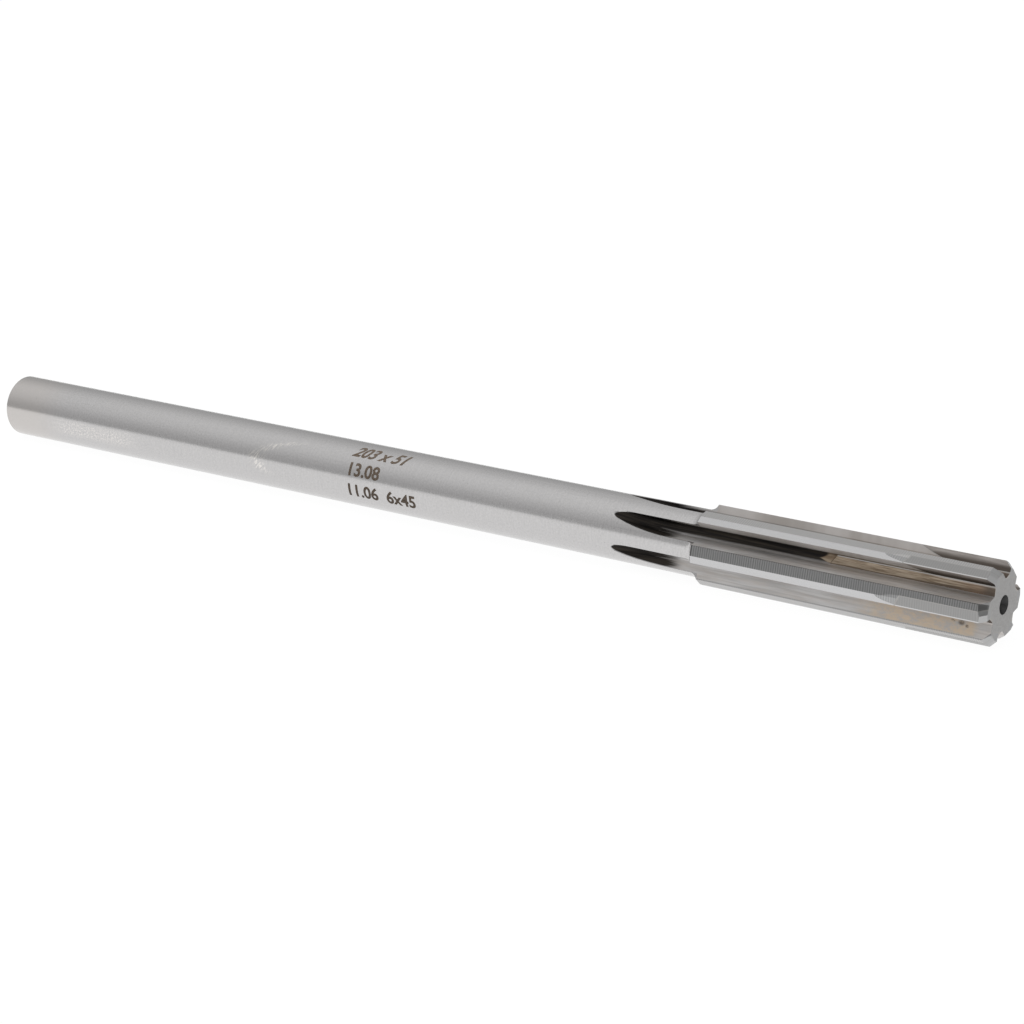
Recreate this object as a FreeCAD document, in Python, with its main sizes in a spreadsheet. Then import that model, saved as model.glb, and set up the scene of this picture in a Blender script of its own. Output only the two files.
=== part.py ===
import FreeCAD, Part

import math
import os
import re

import Sketcher
from FreeCAD import Placement, Rotation, Vector

# A carbide-tipped machine reamer: a ground steel shank, a fluted cutting head of slightly
# larger diameter, and six carbide tips brazed into slots in the front of the teeth.
#
# Every body is drawn in the tool frame: X runs along the axis from the shank's end face
# to the cutting end, and tooth 1 stands on +Z. Its cutting face lies in the XZ plane,
# its flute is on the -Y side and its land on the +Y side. The bodies' Placements then
# roll the tool about X until it lies on two teeth, with a flute facing straight down.

doc = FreeCAD.newDocument("machine_reamer")

# ---------------------------------------------------------------------------------------
# Driving dimensions, in millimetres and degrees
# ---------------------------------------------------------------------------------------

DIMENSIONS = {
    # the turned bar
    "overall_length": 203.2,
    "shank_radius": 5.531,
    "shank_end_chamfer": 0.3,
    "head_start": 152.4,
    "shoulder_radius": 1.5,
    "head_radius": 6.5405,
    "teeth": 6,
    # the flutes, cut by a disc cutter with one flat side and one sloping edge
    "flute_end": 147.9,
    "flute_floor": 3.92,
    "flute_corner": 1.0,
    "flute_slope": 28.5,
    "flute_cutter_radius": 44.45,
    # the clearances ground behind each cutting edge
    "body_margin": 10.5,
    "secondary_relief": 14,
    "tip_margin": 2,
    "primary_relief": 10.6,
    "relief_width": 1.25,
    "relief_wheel_radius": 30,
    # the entering chamfer, ground in two facets
    "chamfer": 0.95,
    "facet_land": 1.0,
    "facet_primary": 6,
    "facet_secondary": 22,
    "facet_length": 4,
    # the tips and their slots, milled from the front by a disc cutter
    "tip_start": 188.5,
    "tip_thickness": 1.65,
    "tip_foot": 4.3,
    "tip_arc": 21.9,
    "slot_reach": 0.35,
    "braze_gap": 0.1,
    # the bead of braze along the foot of the cutting face
    "bead_start": 175.7,
    "bead_taper": 1.2,
    "bead_width": 1.15,
    "bead_face_radius": 3.0,
    # the centre holes
    "front_centre_radius": 1.52,
    "rear_centre_radius": 1.6,
    "pilot_radius": 0.65,
    "pilot_depth": 3.2,
    # how far the cutting shapes stand out past the bar
    "overcut": 1.0,
}

sheet = doc.addObject("Spreadsheet::Sheet", "Sizes")
for row, (alias, amount) in enumerate(DIMENSIONS.items(), start=1):
    sheet.set(f"A{row}", alias)
    sheet.set(f"B{row}", str(amount))
    sheet.setAlias(f"B{row}", alias)
doc.recompute()

# Lengths that several outlines share, as expressions of the sheet's cells
CORNER_TOP = "flute_floor + flute_corner"
BACK_Y = "-flute_corner * (1 + sin(flute_slope))"
BACK_Z = "flute_floor + flute_corner * (1 - cos(flute_slope))"
OUTSIDE = "head_radius + overcut"
SLOT_TOP = "head_radius + overcut / 4"
FRONT_OVERCUT = "overall_length + overcut"
PRIMARY_NORMAL = "(tip_margin + primary_relief)"
SECONDARY_NORMAL = "(body_margin + secondary_relief)"


def bound(text):
    """A formula in plain alias names, written as an expression on the Sizes sheet."""
    return re.sub(r"[a-z_]+", lambda word: f"Sizes.{word[0]}" if word[0] in DIMENSIONS else word[0], text)


def size(text):
    """The value of such a formula now."""
    return float(sheet.evalExpression(bound(text)))


def arc_run(radius, rise):
    """How far an arc that starts level runs along while it climbs by a rise."""
    return f"sqrt(2 * ({radius}) * ({rise}) - ({rise})^2)"


ARC_FOOT_X = f"tip_start + {arc_run('tip_arc', 'head_radius - tip_foot')}"
SHOULDER_FOOT_X = f"head_start - {arc_run('shoulder_radius', 'head_radius - shank_radius')}"


# ---------------------------------------------------------------------------------------
# Sketches
# ---------------------------------------------------------------------------------------


def arc(radius, centre_x, centre_y, clockwise=False):
    """The arc that leads from one corner of an outline to the next."""
    return {"radius": radius, "x": centre_x, "y": centre_y, "clockwise": clockwise}


def pin(sketch, edge, end, x_text, y_text):
    """Hold an edge's end at its place, with both distances bound to the sheet."""
    for kind, axis, text in (("DistanceX", -2, x_text), ("DistanceY", -1, y_text)):
        if text == "0":
            sketch.addConstraint(Sketcher.Constraint("PointOnObject", edge, end, axis))
            continue
        index = sketch.addConstraint(Sketcher.Constraint(kind, -1, 1, edge, end, size(text)))
        sketch.setExpression(f"Constraints[{index}]", bound(text))


def draw(body, name, plane, outline, distance="0", turn="0", axis=None):
    """A closed, fully bound sketch on one of the body's planes.

    outline is a list of corners (x, y), each with an arc() after it where the next edge
    is round. distance moves the sketch along its normal, and turn turns it in its plane.
    axis is the height of a construction line, for a groove to turn about.
    """
    sketch = body.newObject("Sketcher::SketchObject", name)
    support = [part for part in body.Origin.OriginFeatures if part.Role == plane][0]
    sketch.AttachmentSupport = [(support, "")]
    sketch.MapMode = "FlatFace"
    sketch.AttachmentOffset = Placement(Vector(0, 0, size(distance)), Rotation(Vector(0, 0, 1), size(turn)))
    sketch.setExpression("AttachmentOffset.Base.z", bound(distance))
    sketch.setExpression("AttachmentOffset.Rotation.Angle", bound(turn))

    corners = [item for item in outline if isinstance(item, tuple)]
    rounds = {}
    for before, item in zip(outline, outline[1:]):
        if isinstance(item, dict):
            rounds[corners.index(before)] = item

    ends = []
    for i, (x_text, y_text) in enumerate(corners):
        here = Vector(size(x_text), size(y_text), 0)
        next_x, next_y = corners[(i + 1) % len(corners)]
        there = Vector(size(next_x), size(next_y), 0)
        if i not in rounds:
            edge = sketch.addGeometry(Part.LineSegment(here, there))
            ends.append((edge, 1, 2))
            continue
        bend = rounds[i]
        centre = Vector(size(bend["x"]), size(bend["y"]), 0)
        first, last = (there, here) if bend["clockwise"] else (here, there)
        angles = [math.atan2((end - centre).y, (end - centre).x) for end in (first, last)]
        circle = Part.Circle(centre, Vector(0, 0, 1), size(bend["radius"]))
        edge = sketch.addGeometry(Part.ArcOfCircle(circle, angles[0], angles[1]))
        index = sketch.addConstraint(Sketcher.Constraint("Radius", edge, size(bend["radius"])))
        sketch.setExpression(f"Constraints[{index}]", bound(bend["radius"]))
        ends.append((edge, 2, 1) if bend["clockwise"] else (edge, 1, 2))

    for i, (edge, start, end) in enumerate(ends):
        next_edge, next_start, _ = ends[(i + 1) % len(ends)]
        sketch.addConstraint(Sketcher.Constraint("Coincident", edge, end, next_edge, next_start))
        pin(sketch, edge, start, *corners[i])

    if axis:
        height = size(axis)
        line = sketch.addGeometry(Part.LineSegment(Vector(-1, height, 0), Vector(1, height, 0)), True)
        pin(sketch, line, 1, "-overcut", axis)
        pin(sketch, line, 2, "overcut", axis)
    doc.recompute()
    return sketch


# ---------------------------------------------------------------------------------------
# Features
# ---------------------------------------------------------------------------------------


def extrude(body, kind, name, sketch, length, reverse=False):
    """A Pad or a Pocket of a bound length."""
    feature = body.newObject(f"PartDesign::{kind}", name)
    feature.Profile = sketch
    feature.Length = size(length)
    feature.setExpression("Length", bound(length))
    feature.Reversed = reverse
    doc.recompute()
    return feature


def groove(body, name, sketch):
    """A quarter turn of a sketch about its construction line, towards the shank."""
    feature = body.newObject("PartDesign::Groove", name)
    feature.Profile = sketch
    feature.ReferenceAxis = (sketch, ["Axis0"])
    feature.Angle = 90
    feature.Reversed = False
    doc.recompute()
    return feature


def facet(body, name, setback, start, relief):
    """One ground face of the entering chamfer, falling away behind the cutting edge.

    The corner beyond the 45 degree chamfer line is cut along a slanting direction, so
    the face that is left drops by the relief angle as it runs back across the tooth.
    """
    outline = [
        (f"overall_length - {setback} - overcut", OUTSIDE),
        (FRONT_OVERCUT, f"head_radius - {setback} - overcut"),
        (FRONT_OVERCUT, OUTSIDE),
    ]
    sketch = draw(body, f"{name}_outline", "XZ_Plane", outline, distance=f"-({start})")
    feature = body.newObject("PartDesign::Pocket", name)
    feature.Profile = sketch
    feature.UseCustomVector = True
    slant = f"-sin({relief}) / sqrt(2)"
    feature.Direction = Vector(size(slant), size(f"cos({relief})"), size(slant))
    feature.AlongSketchNormal = True
    feature.Length = size("facet_length")
    feature.setExpression("Length", bound("facet_length"))
    doc.recompute()
    return feature


def entering_chamfer(body):
    """The two facets at the front of tooth 1."""
    narrow = facet(body, "chamfer_land", "chamfer", "0", "facet_primary")
    drop = "(chamfer + facet_land * tan(facet_primary) * sqrt(2))"
    wide = facet(body, "chamfer_clearance", drop, "facet_land", "facet_secondary")
    return [narrow, wide]


def slot_outline(foot, radius):
    """Side view of the slot: a floor, then the cutter's arc up and out to the rear."""
    run = arc_run(radius, f"{SLOT_TOP} - ({foot})")
    return [
        (FRONT_OVERCUT, foot),
        (ARC_FOOT_X, foot),
        arc(radius, ARC_FOOT_X, f"({foot}) + ({radius})", clockwise=True),
        (f"{ARC_FOOT_X} - {run}", SLOT_TOP),
        (FRONT_OVERCUT, SLOT_TOP),
    ]


def under_slot_outline(foot, radius):
    """Side view of what lies behind and under the same arc."""
    run = arc_run(radius, f"{SLOT_TOP} - ({foot})")
    return [
        (ARC_FOOT_X, foot),
        arc(radius, ARC_FOOT_X, f"({foot}) + ({radius})", clockwise=True),
        (f"{ARC_FOOT_X} - {run}", SLOT_TOP),
        ("tip_start - 3 * overcut", SLOT_TOP),
        ("tip_start - 3 * overcut", f"({foot}) - overcut"),
        (ARC_FOOT_X, f"({foot}) - overcut"),
    ]


def new_body(label):
    """An empty body whose name and label are the node's name."""
    body = doc.addObject("PartDesign::Body", label)
    body.Label = label
    return body


# ---------------------------------------------------------------------------------------
# The steel bar: turned, fluted, ground and slotted
# ---------------------------------------------------------------------------------------


def turned_bar(body):
    """Shank, shoulder and head, with a 60 degree centre hole in each end.

    The shoulder is the print of the grinding wheel's rounded corner: one hollow sweep
    from the shank up to the sharp rear corner of the teeth.
    """
    outline = [
        ("pilot_depth + pilot_radius / tan(59)", "0"),
        ("pilot_depth", "pilot_radius"),
        ("(rear_centre_radius - pilot_radius) / tan(30)", "pilot_radius"),
        ("0", "rear_centre_radius"),
        ("0", "shank_radius - shank_end_chamfer"),
        ("shank_end_chamfer", "shank_radius"),
        (SHOULDER_FOOT_X, "shank_radius"),
        arc("shoulder_radius", SHOULDER_FOOT_X, "shank_radius + shoulder_radius"),
        ("head_start", "head_radius"),
        ("overall_length", "head_radius"),
        ("overall_length", "front_centre_radius"),
        ("overall_length - (front_centre_radius - pilot_radius) / tan(30)", "pilot_radius"),
        ("overall_length - pilot_depth", "pilot_radius"),
        ("overall_length - pilot_depth - pilot_radius / tan(59)", "0"),
    ]
    sketch = draw(body, "bar_outline", "XZ_Plane", outline)
    bar = body.newObject("PartDesign::Revolution", "turned_bar")
    bar.Profile = sketch
    bar.ReferenceAxis = (sketch, ["H_Axis"])
    bar.Angle = 360
    doc.recompute()


def flute_outline():
    """Section of a flute: a radial wall, a rounded corner and a sloping back."""
    return [
        ("0", OUTSIDE),
        ("0", CORNER_TOP),
        arc("flute_corner", "-flute_corner", CORNER_TOP, clockwise=True),
        (BACK_Y, BACK_Z),
        (f"{BACK_Y} - ({OUTSIDE} - ({BACK_Z})) / tan(flute_slope)", OUTSIDE),
    ]


def flute(body):
    """One flute: the straight cut, and the arc where the cutter lifts out of the shank."""
    straight = draw(body, "flute_section", "YZ_Plane", flute_outline(), distance="flute_end")
    length = "overall_length - flute_end + overcut"
    cut = extrude(body, "Pocket", "flute_cut", straight, length, reverse=True)
    lift = draw(
        body,
        "flute_runout_section",
        "YZ_Plane",
        flute_outline(),
        distance="flute_end",
        axis="flute_floor + flute_cutter_radius",
    )
    return [cut, groove(body, "flute_runout", lift)]


def relief_outline(margin, relief):
    """A rectangle over the land, standing on the plane that the wheel grinds."""
    return [
        (f"-head_radius * sin({relief})", f"head_radius * cos({relief})"),
        ("relief_width", f"head_radius * cos({relief})"),
        ("relief_width", OUTSIDE),
        (f"-head_radius * sin({relief})", OUTSIDE),
    ]


def land_relief(body):
    """The clearances on top of a tooth.

    Behind a round margin, a flat clearance runs the whole length of the head. On the
    tips a second flat, closer to the edge, leaves only a hairline of the margin, and
    the wheel that grinds it lifts out just behind the tip.
    """
    secondary = draw(
        body,
        "secondary_section",
        "YZ_Plane",
        relief_outline("body_margin", "secondary_relief"),
        distance=SHOULDER_FOOT_X,
        turn=f"-{SECONDARY_NORMAL}",
    )
    length = f"overall_length - ({SHOULDER_FOOT_X}) + overcut"
    secondary_cut = extrude(body, "Pocket", "secondary_clearance", secondary, length, reverse=True)

    primary = draw(
        body,
        "primary_section",
        "YZ_Plane",
        relief_outline("tip_margin", "primary_relief"),
        distance="tip_start",
        turn=f"-{PRIMARY_NORMAL}",
    )
    length = "overall_length - tip_start + overcut"
    primary_cut = extrude(body, "Pocket", "primary_clearance", primary, length, reverse=True)

    lift = draw(
        body,
        "primary_runout_section",
        "YZ_Plane",
        relief_outline("tip_margin", "primary_relief"),
        distance="tip_start",
        turn=f"-{PRIMARY_NORMAL}",
        axis="head_radius * cos(primary_relief) + relief_wheel_radius",
    )
    return [secondary_cut, primary_cut, groove(body, "primary_runout", lift)]


def tip_slot(body):
    """The slot that a tip is brazed into, cut across the tooth from its flute."""
    outline = slot_outline("tip_foot - braze_gap", "tip_arc + braze_gap")
    sketch = draw(body, "slot_side_view", "XZ_Plane", outline, distance="slot_reach")
    return [extrude(body, "Pocket", "tip_slot", sketch, "slot_reach + tip_thickness + braze_gap")]


def make_reamer_body():
    body = new_body("reamer_body")
    turned_bar(body)
    tooth_cuts = flute(body) + land_relief(body) + entering_chamfer(body) + tip_slot(body)
    pattern = body.newObject("PartDesign::PolarPattern", "teeth_pattern")
    pattern.Originals = tooth_cuts
    pattern.Axis = ([part for part in body.Origin.OriginFeatures if part.Role == "X_Axis"][0], [""])
    pattern.Angle = 360
    pattern.Occurrences = int(size("teeth"))
    pattern.setExpression("Occurrences", bound("teeth"))
    body.Tip = pattern
    doc.recompute()
    return body


# ---------------------------------------------------------------------------------------
# The carbide tips and their braze
# ---------------------------------------------------------------------------------------


def on_primary(y_text):
    """Height of the tip's ground clearance above a point across the tooth."""
    return f"(head_radius * cos(primary_relief) - ({y_text}) * sin({PRIMARY_NORMAL})) / cos({PRIMARY_NORMAL})"


def make_tip(number):
    """A carbide tip: flat cutting face, hairline margin, clearance, and an arched seat."""
    body = new_body(f"carbide_tip_{number}")
    section = [
        ("0", "tip_foot"),
        ("0", "head_radius"),
        arc("head_radius", "0", "0", clockwise=True),
        ("head_radius * sin(tip_margin)", "head_radius * cos(tip_margin)"),
        ("tip_thickness", on_primary("tip_thickness")),
        ("tip_thickness", "tip_foot"),
    ]
    sketch = draw(body, "tip_section", "YZ_Plane", section, distance="tip_start - overcut")
    extrude(body, "Pad", "tip_blank", sketch, "overall_length - tip_start + overcut")
    under = under_slot_outline("tip_foot", "tip_arc")
    under_sketch = draw(body, "tip_seat_view", "XZ_Plane", under, distance="overcut")
    extrude(body, "Pocket", "tip_seat", under_sketch, "tip_thickness + 2 * overcut")
    body.Tip = entering_chamfer(body)[-1]
    doc.recompute()
    return body


def make_braze(number):
    """The braze of one tip: a thin layer all round its seat, and a bead in the flute."""
    body = new_body(f"braze_seam_{number}")
    slot_foot = "tip_foot - braze_gap"
    back = "tip_thickness + braze_gap"
    section = [
        ("-slot_reach", slot_foot),
        ("0", CORNER_TOP),
        ("0", "head_radius"),
        arc("head_radius", "0", "0", clockwise=True),
        ("head_radius * sin(tip_margin)", "head_radius * cos(tip_margin)"),
        (back, on_primary(back)),
        (back, slot_foot),
    ]
    sketch = draw(body, "slot_section", "YZ_Plane", section, distance="tip_start - overcut")
    extrude(body, "Pad", "slot_fill", sketch, "overall_length - tip_start + overcut")
    under = under_slot_outline(slot_foot, "tip_arc + braze_gap")
    under_sketch = draw(body, "slot_arc_view", "XZ_Plane", under, distance="overcut")
    extrude(body, "Pocket", "slot_arc", under_sketch, "tip_thickness + 3 * overcut")
    tip_sketch = draw(body, "tip_room_view", "XZ_Plane", slot_outline("tip_foot", "tip_arc"))
    extrude(body, "Pocket", "tip_room", tip_sketch, "tip_thickness")
    entering_chamfer(body)

    floor_z = f"{CORNER_TOP} - sqrt(flute_corner * flute_corner - (bead_width - flute_corner)^2)"
    chord_x = "bead_width"
    chord_z = f"({CORNER_TOP} - ({floor_z}))"
    chord = f"sqrt({chord_x}^2 + {chord_z}^2)"
    sagitta_leg = f"sqrt(bead_face_radius^2 - ({chord} / 2)^2)"
    bead_section = [
        ("0", CORNER_TOP),
        arc("flute_corner", "-flute_corner", CORNER_TOP, clockwise=True),
        ("-bead_width", floor_z),
        arc(
            "bead_face_radius",
            f"-bead_width / 2 - {sagitta_leg} * {chord_z} / {chord}",
            f"({CORNER_TOP} + ({floor_z})) / 2 + {sagitta_leg} * {chord_x} / {chord}",
        ),
    ]
    bead = draw(body, "bead_section", "YZ_Plane", bead_section, distance="bead_start")
    extrude(body, "Pad", "bead", bead, "overall_length - bead_start")
    lead_in = [
        ("bead_start - overcut", "flute_floor - overcut"),
        ("bead_start - bead_taper", "flute_floor - overcut"),
        ("bead_start + 2 * bead_taper", "flute_floor + 2 * flute_corner"),
        ("bead_start - overcut", "flute_floor + 2 * flute_corner"),
    ]
    taper = draw(body, "bead_taper_view", "XZ_Plane", lead_in, distance="2 * overcut")
    body.Tip = extrude(body, "Pocket", "bead_taper", taper, "3 * overcut")
    doc.recompute()
    return body


# ---------------------------------------------------------------------------------------
# Assembly: the tool lies on the cutting edge of one tooth and the heel of the next
# ---------------------------------------------------------------------------------------


def rest_roll():
    """The roll about X, in degrees, that turns one flute straight down.

    The heel is where the flute's sloping back meets the clearance of the next tooth,
    whose normal stands 60 degrees less its own angle from tooth 1. The line from heel
    to cutting edge is what the tool lies on.
    """
    slope = math.radians(size("flute_slope"))
    normal = math.radians(360 / size("teeth") - size(SECONDARY_NORMAL))
    plane = size("head_radius * cos(secondary_relief)")
    back = Vector(0, size(BACK_Y), size(BACK_Z))
    along = Vector(0, -math.cos(slope), math.sin(slope))
    out = Vector(0, -math.sin(normal), math.cos(normal))
    heel = back + along * ((plane - back.dot(out)) / along.dot(out))
    edge = Vector(0, 0, size("head_radius"))
    lean = math.degrees(math.atan2(edge.z - heel.z, edge.y - heel.y))
    return 180 - lean


roll = rest_roll()
reamer_body = make_reamer_body()
reamer_body.Placement = Placement(Vector(0, 0, 0), Rotation(Vector(1, 0, 0), roll))
sub_parts = [reamer_body]
for number in range(1, int(size("teeth")) + 1):
    angle = roll + (number - 1) * 360 / size("teeth")
    for make in (make_tip, make_braze):
        piece = make(number)
        piece.Placement = Placement(Vector(0, 0, 0), Rotation(Vector(1, 0, 0), angle))
        sub_parts.append(piece)
doc.recompute()

# ---------------------------------------------------------------------------------------
# Check and write
# ---------------------------------------------------------------------------------------

for item in doc.Objects:
    if "Invalid" in item.State or "Error" in item.State:
        raise RuntimeError(f"{item.Name} failed: {item.State}")

os.makedirs("parts", exist_ok=True)
for piece in sub_parts:
    shape = piece.Shape
    if shape.isNull() or not shape.isValid() or len(shape.Solids) != 1:
        raise RuntimeError(f"{piece.Label} is not one valid solid")
    shape.exportStep(f"parts/{piece.Label}.step")
    print(piece.Label, round(shape.Volume, 3), "mm3", len(shape.Faces), "faces")
print("roll", round(roll, 3))
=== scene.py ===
# %% [markdown]
# # A machine reamer with brazed carbide tips
#
# A reamer finishes a drilled hole to size. This one has a long plain shank, ground round to run
# true in a chuck, and a fluted head with six teeth. Hard carbide tips are brazed into the front of
# the teeth. The packed model gives every solid piece at its real size. This lesson gives each one
# the finish that grinding, brazing and use leave on it.

import math

import bmesh
import bpy
from mathutils import Matrix, Quaternion, Vector


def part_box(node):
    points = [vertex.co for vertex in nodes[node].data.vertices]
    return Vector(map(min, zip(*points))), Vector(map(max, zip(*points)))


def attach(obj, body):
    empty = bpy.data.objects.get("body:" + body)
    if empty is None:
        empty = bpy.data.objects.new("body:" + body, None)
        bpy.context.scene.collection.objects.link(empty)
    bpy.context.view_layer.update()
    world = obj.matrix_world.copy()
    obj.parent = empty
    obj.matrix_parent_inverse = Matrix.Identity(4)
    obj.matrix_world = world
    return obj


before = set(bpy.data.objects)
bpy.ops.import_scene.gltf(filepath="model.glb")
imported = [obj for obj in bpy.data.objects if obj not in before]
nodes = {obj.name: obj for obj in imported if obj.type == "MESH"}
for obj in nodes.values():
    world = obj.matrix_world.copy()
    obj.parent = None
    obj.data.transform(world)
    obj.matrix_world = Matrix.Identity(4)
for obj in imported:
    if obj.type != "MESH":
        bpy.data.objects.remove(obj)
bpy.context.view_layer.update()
scene = bpy.context.scene
MM = 0.001

# %% [markdown]
# ## Measuring the tool
#
# The finishes change from place to place on one solid: the shank, the ground lands on top of the
# teeth, the flutes between them, the flat end. Typing those places in would break as soon as the
# model changed. Here they are measured on the frame: where the head begins, how large both
# diameters are, and at which angle round the axis a cutting edge stands.


# %% Where the head, the tips and the first cutting edge are
def ring(node):
    """Every corner of a node as (place along the axis, radius, angle round it), in mm and degrees."""
    corners = [vertex.co for vertex in nodes[node].data.vertices]
    return [
        (co.x / MM, math.hypot(co.y, co.z) / MM, math.degrees(math.atan2(co.z, co.y)) % 360)
        for co in corners
    ]


body_ring = ring("reamer_body")
LENGTH = max(along for along, _, _ in body_ring)
HEAD_R = max(radius for _, radius, _ in body_ring)
SHANK_R = max(radius for along, radius, _ in body_ring if along < LENGTH / 2)
HEAD_START = min(along for along, radius, _ in body_ring if radius > 0.999 * HEAD_R)
TIP_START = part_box("carbide_tip_1")[0][0] / MM
BEAD_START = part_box("braze_seam_1")[0][0] / MM
TEETH = sum(name.startswith("carbide_tip") for name in nodes)
PITCH = 360 / TEETH
EDGE_ANGLE = max(angle for _, radius, angle in ring("carbide_tip_1") if radius > 0.999 * HEAD_R)
HEEL_SHARE = 0.94
HEEL_REACH = 0.5
behind_edge = [
    (EDGE_ANGLE - angle + 1.0) % PITCH - 1.0
    for along, radius, angle in body_ring
    if abs(along - HEAD_START) < HEEL_REACH and radius > HEEL_SHARE * HEAD_R
]
LAND_END = max(behind_edge)
print(f"length {LENGTH:.1f}, head from {HEAD_START:.1f}, radii {SHANK_R:.3f} and {HEAD_R:.3f} mm")
print(f"{TEETH} teeth, tips from {TIP_START:.1f} mm, first cutting edge at {EDGE_ANGLE:.2f} degrees")
print(f"each land reaches {LAND_END:.1f} of the {PITCH:.0f} degrees from edge to edge")

# %% [markdown]
# ## Small tools for building materials
#
# A material is a tree of nodes. Wiring one by hand takes several lines for each node, so a small
# class keeps the cells short. It adds a node and connects or sets its inputs, does a sum, fades
# between two values over a range, and mixes colours or numbers. It only shortens the writing. The
# trees that it makes are ordinary ones.


# %% Helpers for node trees
class Tree:
    """A node tree with short calls for the nodes that these finishes need."""

    def __init__(self, tree):
        self.tree = tree

    def add(self, kind, settings=None, **inputs):
        """A node of a kind, with settings on the node and values or links on its inputs."""
        node = self.tree.nodes.new(kind)
        for name, value in (settings or {}).items():
            setattr(node, name, value)
        for name, value in inputs.items():
            self.feed(node.inputs[name.replace("_", " ")], value)
        return node

    def feed(self, socket, value):
        """Connect another node's output to a socket, or write a value on it."""
        if isinstance(value, bpy.types.NodeSocket):
            self.tree.links.new(value, socket)
        else:
            socket.default_value = value

    def sum(self, operation, *values):
        """The result of a Math node, such as ADD, MULTIPLY or POWER."""
        node = self.tree.nodes.new("ShaderNodeMath")
        node.operation = operation
        for socket, value in zip(node.inputs, values):
            self.feed(socket, value)
        return node.outputs[0]

    def fade(self, value, start, end, low=0.0, high=1.0):
        """low up to start, high from end on, and a smooth change between."""
        node = self.add("ShaderNodeMapRange", {"interpolation_type": "SMOOTHSTEP"})
        for name, amount in zip(("Value", "From Min", "From Max", "To Min", "To Max"),
                                (value, start, end, low, high)):
            self.feed(node.inputs[name], amount)
        return node.outputs[0]

    def band(self, value, start, end, soft):
        """1 between start and end, 0 outside, with soft edges."""
        rising = self.fade(value, start - soft, start + soft)
        falling = self.fade(value, end - soft, end + soft, 1.0, 0.0)
        return self.sum("MULTIPLY", rising, falling)

    def both(self, *masks):
        """The product of several masks: 1 only where all of them are."""
        result = masks[0]
        for mask in masks[1:]:
            result = self.sum("MULTIPLY", result, mask)
        return result

    def blend(self, factor, first, second):
        """A mix of two colours."""
        node = self.tree.nodes.new("ShaderNodeMix")
        node.data_type = "RGBA"
        self.feed(node.inputs["Factor"], factor)
        for socket, value in zip([s for s in node.inputs if s.type == "RGBA"], (first, second)):
            self.feed(socket, value)
        return [s for s in node.outputs if s.type == "RGBA"][0]

    def mix(self, factor, first, second):
        """A mix of two numbers."""
        step = self.sum("SUBTRACT", second, first)
        return self.sum("MULTIPLY_ADD", step, factor, first)

    def vector(self, x, y, z):
        """Three numbers as one vector."""
        return self.add("ShaderNodeCombineXYZ", X=x, Y=y, Z=z).outputs[0]

    def noise(self, vector, scale, detail=2.0, roughness=0.5):
        """Soft noise between 0 and 1."""
        node = self.add("ShaderNodeTexNoise", Vector=vector, Scale=scale, Detail=detail,
                        Roughness=roughness)
        return node.outputs[0]


print("helpers ready:", ", ".join(name for name in vars(Tree) if name[0] != "_"))

# %% [markdown]
# ## Node groups
#
# Some patterns serve more than one material: the place on the tool, grinding marks, heat tint and
# the hatch. They could be wired again in each material. A node group is wired once and placed
# wherever it is needed, so the steel, the carbide and the braze can't drift apart.


# %% A helper for node groups
def new_group(name, inputs, outputs):
    """A shader node group with named sockets, given as (name, kind, default)."""
    group = bpy.data.node_groups.new(name, "ShaderNodeTree")
    for direction, sockets in (("INPUT", inputs), ("OUTPUT", outputs)):
        for socket_name, kind, default in sockets:
            socket = group.interface.new_socket(socket_name, in_out=direction, socket_type=kind)
            if default is not None:
                socket.default_value = default
    tree = Tree(group)
    source = group.nodes.new("NodeGroupInput")
    sink = group.nodes.new("NodeGroupOutput")
    return tree, source, sink


FLOAT = "NodeSocketFloat"
VECTOR = "NodeSocketVector"
print("socket kinds:", FLOAT, VECTOR)

# %% [markdown]
# ## Where am I on the tool?
#
# Every finish asks the same question: how far along the axis is this point, how far from it, and
# where between two cutting edges? The group answers it from Object coordinates. The angle is
# counted from the nearest cutting edge: above zero on the land behind the edge, below zero in the
# flute in front of it. Beside and Height are the same place in straight measures: how far to the
# side of the cutting face, and how high up it. Tooth counts the teeth round the tool. One group
# serves the steel, the carbide and the braze, so that all three agree on where a tooth is.

# %% The tool place group
place_tree, _, place_out = new_group(
    "tool place",
    [],
    [("Along", FLOAT, None), ("Radius", FLOAT, None), ("Tooth Angle", FLOAT, None),
     ("Beside", FLOAT, None), ("Height", FLOAT, None), ("Tooth", FLOAT, None),
     ("Turn", FLOAT, None), ("Facing", VECTOR, None)],
)
coordinates = place_tree.add("ShaderNodeTexCoord")
xyz = place_tree.add("ShaderNodeSeparateXYZ", Vector=coordinates.outputs["Object"])
along = place_tree.sum("DIVIDE", xyz.outputs["X"], MM)
across = place_tree.sum("POWER", xyz.outputs["Y"], 2.0)
upward = place_tree.sum("POWER", xyz.outputs["Z"], 2.0)
radius = place_tree.sum("DIVIDE", place_tree.sum("SQRT", place_tree.sum("ADD", across, upward)), MM)
turn = place_tree.sum("DEGREES", place_tree.sum("ARCTAN2", xyz.outputs["Z"], xyz.outputs["Y"]))
flute_share = PITCH - LAND_END
behind = place_tree.sum("ADD", place_tree.sum("SUBTRACT", EDGE_ANGLE, turn), flute_share)
tooth_angle = place_tree.sum("SUBTRACT", place_tree.sum("FLOORED_MODULO", behind, PITCH), flute_share)
in_radians = place_tree.sum("RADIANS", tooth_angle)
beside = place_tree.sum("MULTIPLY", radius, place_tree.sum("SINE", in_radians))
high_up = place_tree.sum("MULTIPLY", radius, place_tree.sum("COSINE", in_radians))
count = place_tree.sum("FLOOR", place_tree.sum("DIVIDE", behind, PITCH))
count = place_tree.sum("FLOORED_MODULO", count, float(TEETH))
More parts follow.
